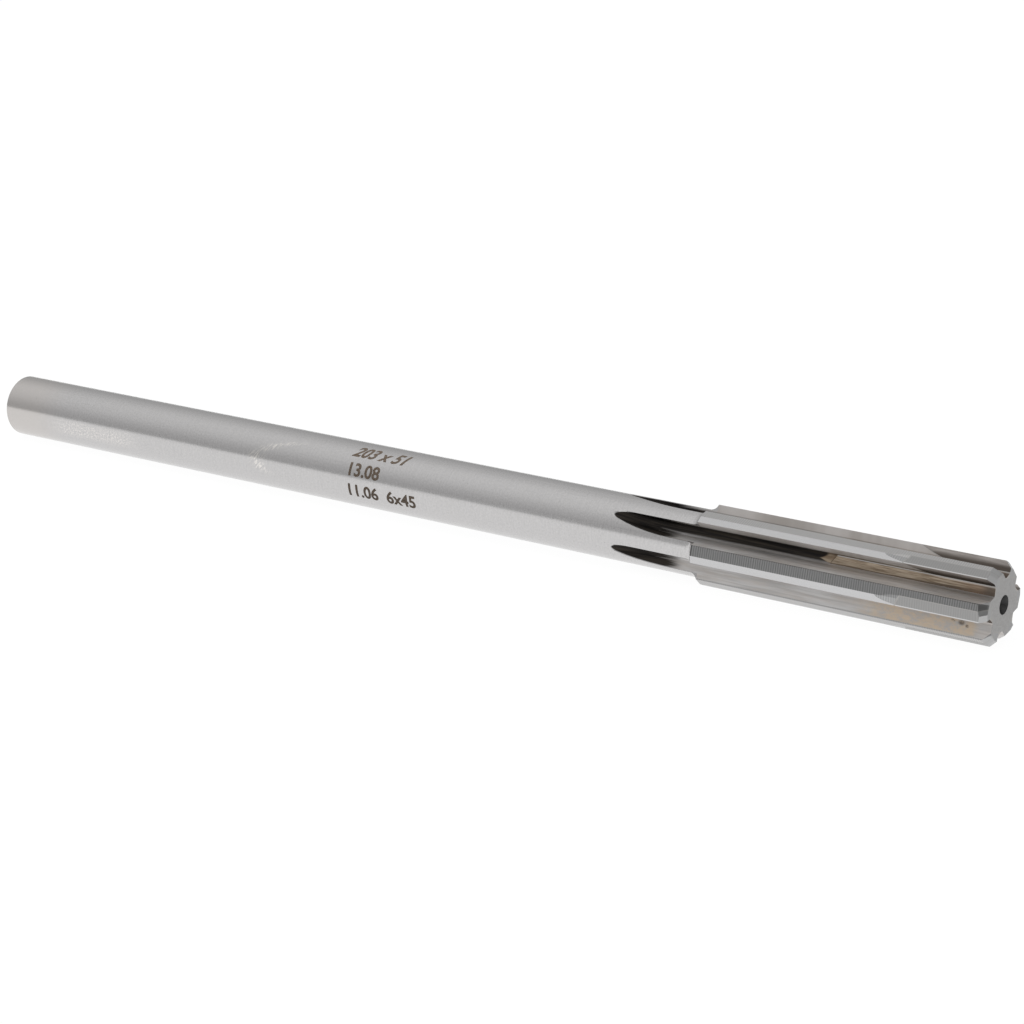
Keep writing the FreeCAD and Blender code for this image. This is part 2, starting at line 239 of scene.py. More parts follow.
for name, value in (("Along", along), ("Radius", radius), ("Tooth Angle", tooth_angle),
                    ("Beside", beside), ("Height", high_up), ("Tooth", count), ("Turn", turn),
                    ("Facing", coordinates.outputs["Normal"])):
    place_tree.feed(place_out.inputs[name], value)
print("group:", place_tree.tree.name, "with", len(place_tree.tree.nodes), "nodes")

# %% [markdown]
# ## Grinding marks
#
# A grinding wheel leaves fine parallel scratches. Round the shank they run in rings, over the
# lands they run across the tooth, and down a cutting face they run lengthwise. All three are one
# pattern: noise that is squeezed along one direction and stretched along the other. The group
# takes the two directions as numbers, so each material says which way its wheel moved.

# %% The grinding marks group
marks_tree, marks_in, marks_out = new_group(
    "grinding marks",
    [("Across", FLOAT, 0.0), ("Lengthwise", FLOAT, 0.0), ("Fineness", FLOAT, 8.0),
     ("Stretch", FLOAT, 0.05)],
    [("Marks", FLOAT, None)],
)
squeezed = marks_tree.sum("MULTIPLY", marks_in.outputs["Across"], marks_in.outputs["Fineness"])
stretched = marks_tree.sum("MULTIPLY", marks_in.outputs["Lengthwise"], marks_in.outputs["Stretch"])
scratch = marks_tree.noise(marks_tree.vector(squeezed, stretched, 0.0), 1.0, 3.0, 0.6)
marks_tree.feed(marks_out.inputs["Marks"], scratch)


def grind(tree, across, lengthwise, fineness, stretch):
    """Grinding marks in a material."""
    node = tree.add("ShaderNodeGroup", {"node_tree": marks_tree.tree}, Across=across,
                    Lengthwise=lengthwise, Fineness=fineness, Stretch=stretch)
    return node.outputs["Marks"]


print("group:", marks_tree.tree.name)

# %% [markdown]
# ## Heat tint
#
# Brazing heats the head to a dull red, and bare steel keeps straw and brown oxide colours in the
# places that the grinding wheel doesn't touch afterwards. The tint lies in long uneven streaks.
# It is a mask here, and each material mixes its own tint with it.

# %% The heat tint group
tint_tree, tint_in, tint_out = new_group(
    "heat tint",
    [("Along", FLOAT, 0.0), ("Turn", FLOAT, 0.0), ("Amount", FLOAT, 0.5)],
    [("Tint", FLOAT, None)],
)
tint_place = tint_tree.vector(
    tint_tree.sum("MULTIPLY", tint_in.outputs["Along"], 0.10),
    tint_tree.sum("MULTIPLY", tint_in.outputs["Turn"], 0.12),
    0.0,
)
tint_noise = tint_tree.noise(tint_place, 1.0, 4.0, 0.6)
tint_level = tint_tree.fade(tint_noise, 0.35, 0.7)
tint = tint_tree.sum("MULTIPLY", tint_level, tint_in.outputs["Amount"])
tint_tree.feed(tint_out.inputs["Tint"], tint)


def heat(tree, where, amount):
    """Heat tint in a material."""
    node = tree.add("ShaderNodeGroup", {"node_tree": tint_tree.tree}, Along=where["Along"],
                    Turn=where["Turn"], Amount=amount)
    return node.outputs["Tint"]


print("group:", tint_tree.tree.name)

# %% [markdown]
# ## Starting a material
#
# Every finish on this tool starts alike: a Principled shader, and the tool place group to say
# where a point is. A function makes both, so that each material goes straight to its own colours.
# Fine relief goes through a Bump node. Real grooves a hundredth of a millimetre deep would need
# far too many faces.


# %% A new material, and relief on it
def new_material(name):
    """A material with a Principled shader and the tool place group, ready to wire."""
    material = bpy.data.materials.new(name)
    material.use_nodes = True
    tree = Tree(material.node_tree)
    shader = material.node_tree.nodes["Principled BSDF"]
    where = tree.add("ShaderNodeGroup", {"node_tree": place_tree.tree})
    return material, tree, shader, where.outputs


def bump(tree, shader, height, strength, distance):
    """Relief from a height, in metres of depth."""
    node = tree.add("ShaderNodeBump", Height=height, Strength=strength, Distance=distance)
    tree.feed(shader.inputs["Normal"], node.outputs["Normal"])


print("material helpers ready")

# %% [markdown]
# ## The hatch of the relief grinding
#
# The clearance behind each cutting edge carries a regular hatch of fine lines across the tooth,
# as a grinding wheel leaves when it passes again and again, a step further on each time. Noise
# alone looks torn, and a plain wave looks printed, so the lines here are a wave whose place and
# strength wander a little. The steel and the carbide both use the group.

# %% The wheel hatch group
HATCH_PITCH = 0.4
hatch_tree, hatch_in, hatch_out = new_group(
    "wheel hatch",
    [("Along", FLOAT, 0.0), ("Beside", FLOAT, 0.0), ("Wander", FLOAT, 0.25)],
    [("Lines", FLOAT, None)],
)
hatch_side = hatch_tree.sum("MULTIPLY", hatch_in.outputs["Beside"], 0.4)
hatch_spot = hatch_tree.vector(hatch_in.outputs["Along"], hatch_side, 0.0)
wandering = hatch_tree.noise(hatch_spot, 0.7, 2.0)
drift = hatch_tree.sum("MULTIPLY", wandering, hatch_in.outputs["Wander"])
drifted = hatch_tree.sum("ADD", hatch_in.outputs["Along"], drift)
step_count = hatch_tree.sum("DIVIDE", drifted, HATCH_PITCH)
wave = hatch_tree.sum("SINE", hatch_tree.sum("MULTIPLY", step_count, 2 * math.pi))
strength = hatch_tree.fade(hatch_tree.noise(hatch_spot, 1.6, 3.0), 0.3, 0.7, 0.15, 0.5)
lines = hatch_tree.sum("MULTIPLY_ADD", wave, strength, 0.5)
hatch_tree.feed(hatch_out.inputs["Lines"], lines)


def hatch(tree, where, wander=0.25):
    """Wheel hatch in a material."""
    node = tree.add("ShaderNodeGroup", {"node_tree": hatch_tree.tree}, Along=where["Along"],
                    Beside=where["Beside"], Wander=wander)
    return node.outputs["Lines"]


print("group:", hatch_tree.tree.name, "pitch", HATCH_PITCH, "mm")

# %% [markdown]
# ## The ground steel
#
# The whole bar is one piece of tool steel with several finishes. The shank is bright, with fine
# rings, as grinding between centres leaves it. The lands have a polished margin next to the edge
# and a hatched clearance behind it. The flutes are duller and tinted by the heat of brazing, and
# their dark corners are painted shade. The end face is a matt grey. One material holds all of
# this, and masks from the tool place group choose between the finishes. A separate material for
# each would need the solid to be cut up.

# %% Where the primary clearance starts
BODY_MARGIN = 10.5
PRIMARY_LEAD = 3.5
PRIMARY_START = TIP_START - PRIMARY_LEAD
PRIMARY_SWEEP = 4.6


def primary_start(tree, where):
    """1 on the primary clearance, whose start crosses the land in a parabola."""
    left = tree.sum("SUBTRACT", 1.0, tree.sum("DIVIDE", where["Tooth Angle"], BODY_MARGIN))
    squared = tree.sum("POWER", tree.sum("MAXIMUM", left, 0.0), 2.0)
    sweep = tree.sum("MULTIPLY", squared, PRIMARY_SWEEP)
    past = tree.sum("SUBTRACT", tree.sum("SUBTRACT", where["Along"], PRIMARY_START), sweep)
    return tree.fade(past, -0.1, 0.1)


print("primary clearance starts at", round(PRIMARY_START, 1), "mm")

# %% [markdown]
# ### Masks for the zones
#
# Each zone of the bar has a mask, 1 inside it and 0 outside: the head, its lands, their
# clearances, the flutes, the end face, the centre hole and the chamfers. Masks could be painted
# on an unwrapped solid. Worked out from the tool place group, they stay sharp at any distance and
# follow the model if it changes.

# %% Masks for the zones of the steel bar
steel, st, steel_shader, where = new_material("ground_steel")
CORNER_TOP = 4.92
CORNER_DEEP = -1.0
RUNOUT_REACH = 19.0
CHAMFER_REACH = 2.5
HOLE_RIM = 1.61

on_head = st.fade(where["Along"], HEAD_START - 0.10, HEAD_START)
land = st.both(on_head, st.fade(where["Tooth Angle"], 0.02, 0.12))
clearance = st.both(land, st.fade(where["Tooth Angle"], BODY_MARGIN - 0.15, BODY_MARGIN + 0.15))
primary = st.both(land, st.sum("SUBTRACT", 1.0, clearance), primary_start(st, where))
below_shank = st.fade(where["Radius"], SHANK_R - 0.14, SHANK_R - 0.05, 1.0, 0.0)
near_head = st.fade(where["Along"], HEAD_START - RUNOUT_REACH, HEAD_START - RUNOUT_REACH + 1.0)
flute = st.sum("MAXIMUM", st.both(near_head, below_shank),
               st.both(on_head, st.sum("SUBTRACT", 1.0, land)))
facing = st.add("ShaderNodeSeparateXYZ", Vector=where["Facing"])
at_end = st.fade(where["Along"], LENGTH - CHAMFER_REACH, LENGTH - CHAMFER_REACH + 0.6)
end_face = st.both(st.fade(facing.outputs["X"], 0.9, 0.97), at_end)
off_end_face = st.sum("SUBTRACT", 1.0, end_face)
inside_rim = st.fade(where["Radius"], HOLE_RIM - 0.05, HOLE_RIM + 0.05, 1.0, 0.0)
in_centre_hole = st.both(inside_rim, off_end_face)
chamfer = st.both(st.fade(facing.outputs["X"], 0.4, 0.55), at_end, off_end_face)
print("zones ready; heel of the land at", round(LAND_END, 2), "degrees")

# %% [markdown]
# ### The shank
#
# A cylindrical grinder leaves rings too fine to count. In the hand they read as a soft grain, so
# the colour moves only a little. The rear end is a shade warmer than the rest. The two colours
# could be painted, but noise over a small range gives the same soft grain on any shank.

# %% Shank: grain and the warm rear end
MM_PER_DEGREE = 0.0965
TAIL_WARM = 6.0
TAIL_PLAIN = 16.0
rings = grind(st, where["Along"], where["Turn"], 7.0, 0.02)
spot = st.vector(where["Along"], st.sum("MULTIPLY", where["Turn"], MM_PER_DEGREE), 0.0)
grain = st.noise(spot, 2.6, 4.0, 0.8)
shank_grain = st.sum("MULTIPLY_ADD", grain, 0.7, st.sum("MULTIPLY", rings, 0.3))
fine_grain = st.fade(shank_grain, 0.40, 0.60)
shank_colour = st.blend(fine_grain, (0.528, 0.520, 0.519, 1), (0.594, 0.584, 0.583, 1))

tail = st.fade(where["Along"], TAIL_WARM, TAIL_PLAIN, 1.0, 0.0)
shank_colour = st.blend(st.sum("MULTIPLY", tail, 0.55), shank_colour, (0.600, 0.565, 0.535, 1))
print("shank warm up to", TAIL_WARM, "mm, plain from", TAIL_PLAIN, "mm")

# %% [markdown]
# ### Rubs and specks
#
# Near the rear end the shank has a patch of pale rubs, and here and there a dark speck, the kind
# of wear that holders and hands leave. Both are fine noise kept to a place: a band along and
# round the shank for the rubs, and coarse noise for the specks, so that they lie in clusters.


# %% Shank: pale rubs and dark specks
def grey(value):
    """A neutral colour of one brightness."""
    return (value, value, value, 1.0)


RUB_START = 13.0
RUB_END = 32.0
RUB_LOW = 203.0
RUB_HIGH = 174.0
round_turn = st.sum("FLOORED_MODULO", where["Turn"], 360.0)
rub_place = st.both(st.band(where["Along"], RUB_START, RUB_END, 3.5),
                    st.band(round_turn, RUB_HIGH, RUB_LOW, 8.0))
rub_specks = st.fade(st.noise(spot, 3.0, 4.0, 0.75), 0.46, 0.60)
rubs = st.both(rub_place, rub_specks)
shank_colour = st.blend(st.sum("MULTIPLY", rubs, 0.7), shank_colour, (0.80, 0.77, 0.74, 1))

speck_place = st.fade(st.noise(spot, 0.22, 2.0), 0.50, 0.62)
specks = st.both(speck_place, st.fade(st.noise(spot, 2.8, 2.0, 0.6), 0.66, 0.73))
shank_colour = st.blend(st.sum("MULTIPLY", specks, 0.45), shank_colour, grey(0.16))
print("rubs from", RUB_START, "to", RUB_END, "mm")

# %% [markdown]
# ### The scratched arc
#
# Two fifths of the way along the shank, a curved row of short pale scratches runs part of the way
# round it, like the track of something hard that skidded. Scratches could be modelled one by one.
# Here the row is a band along a curve: the place along the axis is compared with a parabola of
# the turn. The short strokes inside it are noise stretched across the band.

# %% Shank: the arc of pale scratches
ARC_MIDDLE_TURN = 170.0
ARC_START = 61.0
ARC_BEND = 0.0042
ARC_SPAN = (-44.0, 22.0)
ARC_WIDTH = (-0.6, 2.4)
arc_turn = st.sum("SUBTRACT", round_turn, ARC_MIDDLE_TURN)
arc_curve = st.sum("MULTIPLY_ADD", st.sum("MULTIPLY", arc_turn, arc_turn), ARC_BEND, ARC_START)
off_arc = st.sum("SUBTRACT", where["Along"], arc_curve)
on_arc = st.both(st.band(off_arc, *ARC_WIDTH, 0.9), st.band(arc_turn, *ARC_SPAN, 8.0))
stroke_place = st.vector(st.sum("MULTIPLY_ADD", where["Turn"], 0.09, where["Along"]),
                         st.sum("MULTIPLY", where["Along"], 0.35), 0.0)
strokes = st.fade(st.noise(stroke_place, 3.2, 3.0, 0.6), 0.49, 0.60)
scratches = st.both(on_arc, strokes)
shank_colour = st.blend(st.sum("MULTIPLY", scratches, 0.8), shank_colour, (0.82, 0.79, 0.75, 1))
print("scratches from", ARC_START, "mm")

# %% [markdown]
# ### The lands
#
# The margin is the strip that rides in the hole, and it is bright. Behind it the hatch begins. On
# the near tooth the hatch is darker than on the others, with a dark line at its start. Both are
# painted shade: the hatch lies in shadow on that tooth, and the line is the shadow at its edge.
# That may be a deeper grind or only the way the light falls. The shade is a darker colour on that
# one tooth, and a mask of the tooth's number keeps it there.

# %% Lands: bright margin and hatched clearance
NEAR_TOOTH = 1.0
steel_hatch = hatch(st, where)
near_tooth = st.sum("COMPARE", where["Tooth"], NEAR_TOOTH, 0.1)
# On the near tooth the hatch gets a darker copy of its colour, as painted shade.
shaded_hatch = st.blend(steel_hatch, grey(0.19), grey(0.375))
faint_hatch = st.blend(steel_hatch, (0.42, 0.415, 0.41, 1), (0.56, 0.553, 0.548, 1))
clearance_colour = st.blend(near_tooth, faint_hatch, shaded_hatch)
# A thin near-black band at the head's start is a painted shadow at the edge of the near tooth.
shadow_line = st.band(where["Along"], HEAD_START, HEAD_START + 0.15, 0.06)
clearance_colour = st.blend(st.both(shadow_line, near_tooth), clearance_colour, grey(0.06))
margin_colour = st.blend(grain, (0.53, 0.53, 0.535, 1), (0.60, 0.595, 0.60, 1))
land_colour = st.blend(clearance, margin_colour, clearance_colour)
land_colour = st.blend(primary, land_colour, st.blend(steel_hatch, grey(0.31), grey(0.42)))
print("land colour ready")

# %% [markdown]
# ### The flutes
#
# The back of a flute is grey with long streaks, and a little straw and brown, as heated steel is.
# The cutting face has the same streaks in a warmer grey. The streaks are the grinding marks group
# turned to run along the tool, so one group serves the shank and the flutes.

# %% Flutes: the streaked back and the cutting face
streaks = grind(st, where["Beside"], where["Along"], 3.0, 0.10)
long_streaks = st.fade(streaks, 0.36, 0.64)
flute_colour = st.blend(long_streaks, (0.56, 0.55, 0.545, 1), (0.70, 0.69, 0.685, 1))
straw = heat(st, where, 0.5)
flute_colour = st.blend(straw, flute_colour, (0.58, 0.515, 0.46, 1))

rake_side = st.both(st.fade(where["Beside"], -0.06, -0.02), on_head)
rake_colour = st.blend(long_streaks, (0.55, 0.515, 0.485, 1), (0.72, 0.69, 0.67, 1))
flute_colour = st.blend(rake_side, flute_colour, rake_colour)
print("flute back and cutting face ready")

# %% [markdown]
# ### Painted shade in the corners
#
# The corner at the foot of the cutting face is painted black, and so is the flute where it runs
# out on the shank: both are painted shade in the hollows. The shade is a colour with a ragged edge
# that follows the streaks.

# %% Flutes: painted shade in the corner and the runout
RUNOUT_DARK = 6.5
RUNOUT_CLEAN = 2.5
low_on_rake = st.fade(where["Height"], CORNER_TOP + 0.05, CORNER_TOP + 0.5, 1.0, 0.0)
corner_reach = st.fade(where["Beside"], CORNER_DEEP - 0.35, CORNER_DEEP + 0.25)
before_bead = st.fade(where["Along"], BEAD_START + 2.0, BEAD_START + 14.0, 1.0, 0.55)
# This mask paints shade into the corner at the foot of the cutting face.
scale = st.both(low_on_rake, corner_reach, before_bead)
# The runout on the shank gets the same painted shade, with a ragged edge along the streaks.
ragged_along = st.sum("MULTIPLY_ADD", streaks, -9.0, st.sum("ADD", where["Along"], 4.5))
runout_shade = st.fade(ragged_along, HEAD_START - RUNOUT_DARK, HEAD_START - RUNOUT_CLEAN, 1.0, 0.0)
painted_shade = st.sum("MAXIMUM", scale, runout_shade)
shade_colour = st.blend(long_streaks, (0.007, 0.006, 0.006, 1), (0.032, 0.026, 0.020, 1))
flute_colour = st.blend(st.sum("MULTIPLY", painted_shade, 0.98), flute_colour, shade_colour)
print("scale ready, corner top at", CORNER_TOP, "mm")

# %% [markdown]
# ### The tongue of braze
#
# Ahead of each bead a thin tongue of braze lies along the corner. It is too thin for a solid, and
# a colour on the steel that narrows to a point does the same.

# %% Flutes: the tongue of braze ahead of the bead
SMEAR_LENGTH = 2.4
smear_half = st.fade(where["Along"], BEAD_START - SMEAR_LENGTH, BEAD_START, 0.0, 0.6)
off_smear = st.sum("ABSOLUTE", st.sum("ADD", where["Beside"], 0.5))
smear = st.both(st.fade(st.sum("SUBTRACT", smear_half, off_smear), -0.05, 0.15), low_on_rake,
                st.fade(where["Along"], BEAD_START - SMEAR_LENGTH, BEAD_START - SMEAR_LENGTH + 0.5))
smear_colour = st.blend(long_streaks, (0.22, 0.165, 0.115, 1), (0.44, 0.36, 0.275, 1))
flute_colour = st.blend(smear, flute_colour, smear_colour)
print("tongue of braze", SMEAR_LENGTH, "mm long")

# %% [markdown]
# ### The flux stain
#
# On the back of the near flute lies a golden tan film with a ragged edge, greyer patches and a few
# small dark blisters. It is probably flux from the brazing. A film has no thickness to model, so
# it is a colour. Noise makes its edge and its patches, and the blisters are round spots in it.

# %% Flutes: the golden stain in the near flute
STAIN_START = 183.0
STAIN_END = 201.0
near_flute = st.both(near_tooth, flute, st.fade(where["Beside"], -0.5, -0.3, 1.0, 0.0))
edge_noise = st.noise(st.vector(where["Along"], where["Beside"], 0.0), 0.9, 4.0, 0.6)
ragged = st.sum("MULTIPLY_ADD", edge_noise, 5.0, -2.5)
stain_reach = st.sum("ADD", where["Along"], ragged)
stain_span = st.both(st.fade(stain_reach, STAIN_START - 4.0, STAIN_START + 4.0),
                     st.fade(where["Along"], STAIN_END - 1.2, STAIN_END + 0.8, 1.0, 0.0))
stain_place = st.vector(where["Along"], st.sum("MULTIPLY", where["Beside"], 1.8), 2.0)
stain_mottle = st.noise(stain_place, 0.75, 5.0, 0.65)
film = st.blend(st.fade(stain_mottle, 0.40, 0.66), (0.69, 0.565, 0.43, 1), (0.54, 0.515, 0.495, 1))
stain = st.both(near_flute, stain_span)
flute_colour = st.blend(st.sum("MULTIPLY", stain, 0.85), flute_colour, film)

BLISTERS = [(188.6, -4.9, 0.45), (196.9, -1.7, 0.35), (198.3, -1.9, 0.45), (199.3, -2.2, 0.3)]
for blister_along, blister_beside, blister_size in BLISTERS:
    run = st.sum("DIVIDE", st.sum("SUBTRACT", where["Along"], blister_along), 1.6)
    rise = st.sum("SUBTRACT", where["Beside"], blister_beside)
    apart = st.sum("SQRT", st.sum("ADD", st.sum("POWER", run, 2.0), st.sum("POWER", rise, 2.0)))
    blister = st.both(near_flute, st.fade(apart, blister_size * 0.3, blister_size, 1.0, 0.0),
                      st.fade(stain_mottle, 0.38, 0.52))
    flute_colour = st.blend(st.sum("MULTIPLY", blister, 0.7), flute_colour, (0.10, 0.07, 0.05, 1))
print("stain ready with", len(BLISTERS), "blisters")

# %% [markdown]
# ### The end and the chamfers
#
# The end face is matt, with small dark pits at the feet of the cutting faces. The centre hole is
# deep, and its darkness is painted shade. The entering chamfers are plain grey, darker on the near
# tooth as painted shade. The pits could be sunk into the solid, but they show as no more than dark
# spots, so they are a colour.

# %% The end face and its pits
end_spot = st.add("ShaderNodeTexCoord").outputs["Object"]
end_noise = st.noise(end_spot, 4200.0, 4.0, 0.7)
end_colour = st.blend(st.fade(end_noise, 0.35, 0.65), (0.395, 0.39, 0.385, 1), (0.465, 0.46, 0.455, 1))
PIT_BESIDE = -0.30
PIT_HEIGHT = 4.70
pit_run = st.sum("SUBTRACT", where["Beside"], PIT_BESIDE)
pit_rise = st.sum("SUBTRACT", where["Height"], PIT_HEIGHT)
from_pit = st.sum("SQRT", st.sum("ADD", st.sum("POWER", pit_run, 2.0), st.sum("POWER", pit_rise, 2.0)))
pits = st.both(st.fade(from_pit, 0.12, 0.42, 1.0, 0.0), st.fade(end_noise, 0.40, 0.55))
end_colour = st.blend(st.sum("MULTIPLY", pits, 0.8), end_colour, grey(0.06))
print("end face ready, pits", PIT_HEIGHT, "mm from the axis")

# %% [markdown]
# ### All the zones together
#
# The masks now lay one zone over another, from the shank up to the centre hole. Bare metal takes
# its look from its colour and its roughness, so each zone sets both. The shank's grain and the
# hatch go into the relief as well, with a Bump node.

# %% Steel: colour, roughness and relief
colour = st.blend(land, shank_colour, land_colour)
colour = st.blend(flute, colour, flute_colour)
# On the near tooth the chamfer's darker grey is painted shade.
colour = st.blend(chamfer, colour, st.blend(near_tooth, grey(0.46), grey(0.24)))
colour = st.blend(end_face, colour, end_colour)
# The centre hole's near-black is painted shade in its depth.
colour = st.blend(in_centre_hole, colour, grey(0.07))
st.feed(steel_shader.inputs["Base Color"], colour)

steel_shader.inputs["Metallic"].default_value = 1.0
rough = st.mix(shank_grain, 0.16, 0.24)
rough = st.mix(clearance, rough, 0.32)
rough = st.mix(flute, rough, 0.52)
rough = st.mix(end_face, rough, 0.60)
st.feed(steel_shader.inputs["Roughness"], rough)
relief = st.mix(clearance, st.sum("MULTIPLY", shank_grain, 0.12), steel_hatch)
bump(st, steel_shader, relief, 0.25, 0.00001)
print("material:", steel.name, "with", len(steel.node_tree.nodes), "nodes")

# %% [markdown]
# ## The carbide tips
#
# Cemented carbide is tungsten carbide grains in cobalt. It grinds to a darker grey than steel.
# The cutting face carries slanting streaks with a brown cast, and its darker foot is painted shade.
# The clearance behind the edge has the same hatch as the steel, only fainter, and a bright hairline
# of margin follows the cutting edge. The tips get a material of their own, because they are pieces
# of their own and differ from the steel at every point.

# %% Carbide: the cutting face
carbide, ct, carbide_shader, where_c = new_material("carbide")
slant = ct.sum("MULTIPLY_ADD", where_c["Height"], 1.2, where_c["Along"])
face_streaks = grind(ct, where_c["Height"], slant, 3.0, 0.18)
face_colour = ct.blend(ct.fade(face_streaks, 0.36, 0.64), (0.42, 0.385, 0.36, 1), (0.57, 0.53, 0.50, 1))
# The foot of the cutting face is darkened here as painted shade.
low_on_face = ct.fade(where_c["Height"], CORNER_TOP + 0.5, CORNER_TOP + 1.35, 1.0, 0.0)
face_colour = ct.blend(ct.sum("MULTIPLY", low_on_face, 0.9), face_colour, (0.10, 0.082, 0.068, 1))
print("cutting face of the tips ready")

# %% Carbide: the clearance, the chamfer and the end
MARGIN_LINE = 1.7
facing_c = ct.add("ShaderNodeSeparateXYZ", Vector=where_c["Facing"])
carbide_hatch = hatch(ct, where_c, 0.4)
on_land = ct.fade(where_c["Tooth Angle"], 0.15, 0.5)
before_line = ct.fade(where_c["Tooth Angle"], MARGIN_LINE - 0.2, MARGIN_LINE + 0.2, 1.0, 0.0)
margin_line = ct.both(on_land, before_line)
land_c = ct.blend(carbide_hatch, (0.305, 0.302, 0.299, 1), (0.365, 0.361, 0.357, 1))
land_c = ct.blend(primary_start(ct, where_c), grey(0.50), land_c)
tip_colour = ct.blend(on_land, face_colour, land_c)
tip_colour = ct.blend(margin_line, tip_colour, grey(0.62))
tip_colour = ct.blend(ct.fade(facing_c.outputs["X"], 0.4, 0.55), tip_colour, grey(0.46))
end_c = ct.fade(facing_c.outputs["X"], 0.9, 0.97)
tip_colour = ct.blend(end_c, tip_colour, grey(0.42))
ct.feed(carbide_shader.inputs["Base Color"], tip_colour)
carbide_shader.inputs["Metallic"].default_value = 1.0
ct.feed(carbide_shader.inputs["Roughness"], ct.mix(end_c, 0.33, 0.58))
bump(ct, carbide_shader, ct.mix(on_land, face_streaks, carbide_hatch), 0.12, 0.00001)
print("material:", carbide.name)

# %% [markdown]
# ## The braze
#
# Braze is a bronze-coloured alloy. The bead in the flute shows long tan and brown streaks, as if
# a wheel had smeared it along. It is darkened with painted shade where it meets the steel, darker
# towards the end, and a painted highlight runs along it near the end. The thin layer between tip
# and slot is flush with its neighbours and almost as grey as they are: only a warm hairline gives it
# away. The streaks could be one noise. Two of them, coarse and fine, look more like a smear.

# %% Braze: streaks over the bead
BEAD_WIDTH = 1.15
braze, bt, braze_shader, where_b = new_material("braze")
over_bead = bt.sum("DIVIDE", where_b["Beside"], -BEAD_WIDTH)
braze_streaks = grind(bt, over_bead, where_b["Along"], 7.0, 0.22)
fine_streaks = grind(bt, over_bead, where_b["Along"], 20.0, 0.5)
braze_mixed = bt.sum("MULTIPLY_ADD", braze_streaks, 0.65, bt.sum("MULTIPLY", fine_streaks, 0.35))
bead_colour = bt.blend(bt.fade(braze_mixed, 0.34, 0.66), (0.17, 0.125, 0.085, 1), (0.43, 0.355, 0.275, 1))
print("streaks over a bead", BEAD_WIDTH, "mm wide")

# %% Braze: painted shade at the edges, a darker end, and a painted glint
narrowing = bt.fade(where_b["Along"], BEAD_START + 8.0, LENGTH, 0.0, 0.25)
# Both edges of the bead are darkened as painted shade where it meets the steel.
low_edge = bt.fade(bt.sum("ADD", over_bead, narrowing), 0.78, 0.98)
bead_edge_shade = bt.sum("MAXIMUM", bt.fade(over_bead, 0.0, 0.16, 1.0, 0.0), low_edge)
bead_colour = bt.blend(bt.sum("MULTIPLY", bead_edge_shade, 0.75), bead_colour, (0.07, 0.052, 0.04, 1))
toward_end = bt.fade(where_b["Along"], LENGTH - 8.0, LENGTH - 1.0)
bead_colour = bt.blend(bt.sum("MULTIPLY", toward_end, 0.7), bead_colour, (0.20, 0.135, 0.095, 1))
last_of_bead = bt.fade(where_b["Along"], LENGTH - 3.0, LENGTH - 0.8)
bead_colour = bt.blend(bt.sum("MULTIPLY", last_of_bead, 0.8), bead_colour, (0.11, 0.092, 0.078, 1))
# The glint is a painted highlight along the bead next to the cutting face, over its last millimetres.
PAINTED_GLINT_START = 11.0
painted_glint = bt.both(bt.band(over_bead, 0.08, 0.14, 0.04),
                bt.fade(where_b["Along"], LENGTH - PAINTED_GLINT_START, LENGTH - PAINTED_GLINT_START + 3.0))
bead_colour = bt.blend(bt.sum("MULTIPLY", painted_glint, 0.6), bead_colour, (0.62, 0.58, 0.54, 1))
print("bead edges ready, glint over the last", PAINTED_GLINT_START, "mm")

# %% Braze: the flush layer, then all of it together
facing_b = bt.add("ShaderNodeSeparateXYZ", Vector=where_b["Facing"])
flush = bt.fade(where_b["Beside"], -0.12, -0.04)
braze_colour = bt.blend(flush, bead_colour, (0.42, 0.412, 0.40, 1))
end_b = bt.fade(facing_b.outputs["X"], 0.9, 0.97)
braze_colour = bt.blend(end_b, braze_colour, (0.385, 0.372, 0.355, 1))
bt.feed(braze_shader.inputs["Base Color"], braze_colour)
braze_shader.inputs["Metallic"].default_value = 1.0
braze_shader.inputs["Roughness"].default_value = 0.42
bump(bt, braze_shader, braze_mixed, 0.5, 0.00004)
print("material:", braze.name)

# %% [markdown]
# ## One finish for each node
#
# Every node of the packed model has a material slot. The finish goes into that slot, and nothing
# else on the node changes. The material could be set node by node, but the names already say what
# each one is, so a table of three names covers the body, the tips and the seams.

# %% Give every node its finish
FINISHES = {"reamer_body": steel, "carbide_tip": carbide, "braze_seam": braze}
for name, node in nodes.items():
    finish = next(material for start, material in FINISHES.items() if name.startswith(start))
    for slot in node.material_slots:
        slot.material = finish
    print(name, "->", finish.name)

# %% [markdown]
# ## The size marks
#
# The shank carries thin brown strokes, such as a laser or an etcher burns. They could be painted
# with a texture, but strokes made as geometry stay sharp at any distance. Each row starts as text
# turned into a flat mesh. Only plain sizes of the tool are written, in millimetres.

# %% Figures as a flat mesh
MARK_DEPTH = 0.004
STROKE_WEIGHT = 0.026


def flat_figures(name, text, slant):
    """A row of figures as a thin flat mesh, at the font's own size."""
    curve = bpy.data.curves.new(name, "FONT")
    curve.body = text
    curve.shear = slant
    curve.extrude = MARK_DEPTH
    curve.offset = STROKE_WEIGHT
    maker = bpy.data.objects.new(name, curve)
    scene.collection.objects.link(maker)
    bpy.context.view_layer.update()
    depsgraph = bpy.context.evaluated_depsgraph_get()
    mesh = bpy.data.meshes.new_from_object(maker.evaluated_get(depsgraph))
    bpy.data.objects.remove(maker)
    return mesh


print("strokes made bolder by", STROKE_WEIGHT, "of the font's size")

# %% [markdown]
# ### Rolling a row onto the shank
#
# A flat row laid on a round shank would touch along one line only. So the mesh is cut into narrow
# bands, and each corner is moved round the shank by its height in the row, a hair above the
# surface. A Shrinkwrap modifier could do it too, but the sums keep the strokes evenly thick.

# %% Roll a row of figures onto the shank
MARK_LIFT = 0.008
BAND = 0.25


